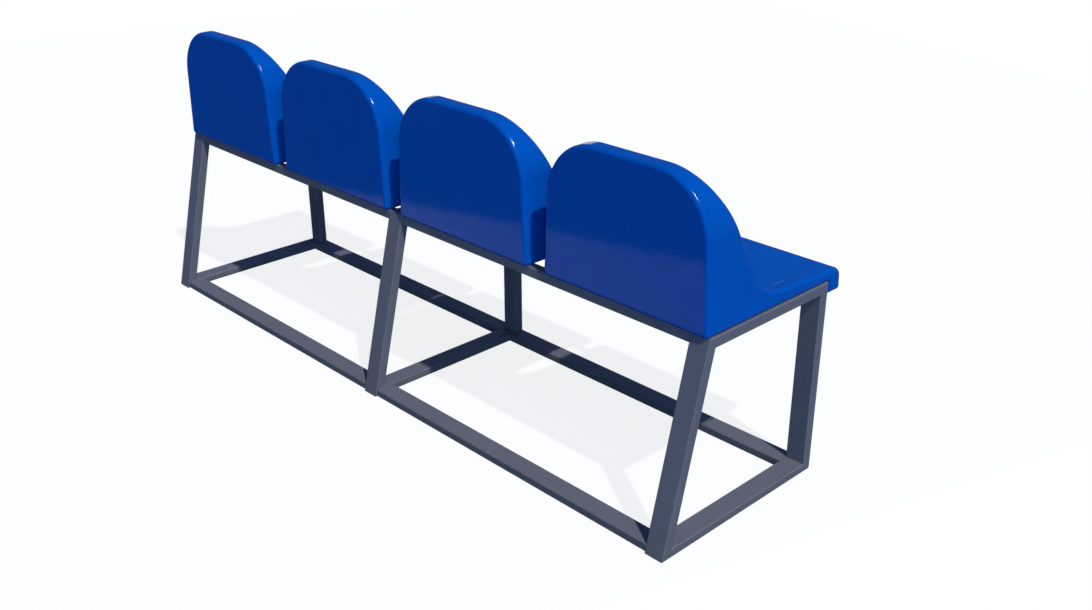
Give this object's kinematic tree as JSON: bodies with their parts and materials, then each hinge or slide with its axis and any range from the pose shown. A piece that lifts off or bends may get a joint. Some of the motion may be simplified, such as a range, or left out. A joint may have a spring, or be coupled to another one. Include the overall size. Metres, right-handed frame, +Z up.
{
  "type": "grandstand bench seating",
  "caption": "Row of blue moulded bucket seats with low arched backs, bolted side by side on a free-standing welded frame of dark painted steel tube.",
  "frame": {"origin": "on the floor, at the middle of the bench's length and depth", "axes": "+X along the row, to the right as seen from in front of the seats; +Y backwards, so that the seats face -Y; +Z up"},
  "size_m": [2, 0.568, 0.792],
  "materials": {
    "frame_paint": "satin anthracite powder coat",
    "seat_plastic": "glossy blue moulded polypropylene",
    "zinc_plate": "bright zinc plate",
    "insert_brass": "turned brass"
  },
  "bodies": {
    "root": {"left_rear_leg": "frame_paint", "left_top_bar": "frame_paint", "left_front_leg": "frame_paint", "left_floor_bar": "frame_paint", "middle_rear_leg": "frame_paint", "middle_top_bar": "frame_paint", "middle_front_leg": "frame_paint", "middle_floor_bar": "frame_paint", "right_rear_leg": "frame_paint", "right_top_bar": "frame_paint", "right_front_leg": "frame_paint", "right_floor_bar": "frame_paint", "left_rear_floor_rail": "frame_paint", "left_front_floor_rail": "frame_paint", "left_rear_top_rail": "frame_paint", "left_front_top_rail": "frame_paint", "right_rear_floor_rail": "frame_paint", "right_front_floor_rail": "frame_paint", "right_rear_top_rail": "frame_paint", "right_front_top_rail": "frame_paint", "seat_1": "seat_plastic", "seat_2": "seat_plastic", "seat_3": "seat_plastic", "seat_4": "seat_plastic", "seat_bolts": "zinc_plate", "bolt_washers": "zinc_plate", "threaded_inserts": "insert_brass"}
  },
  "joints": []
}
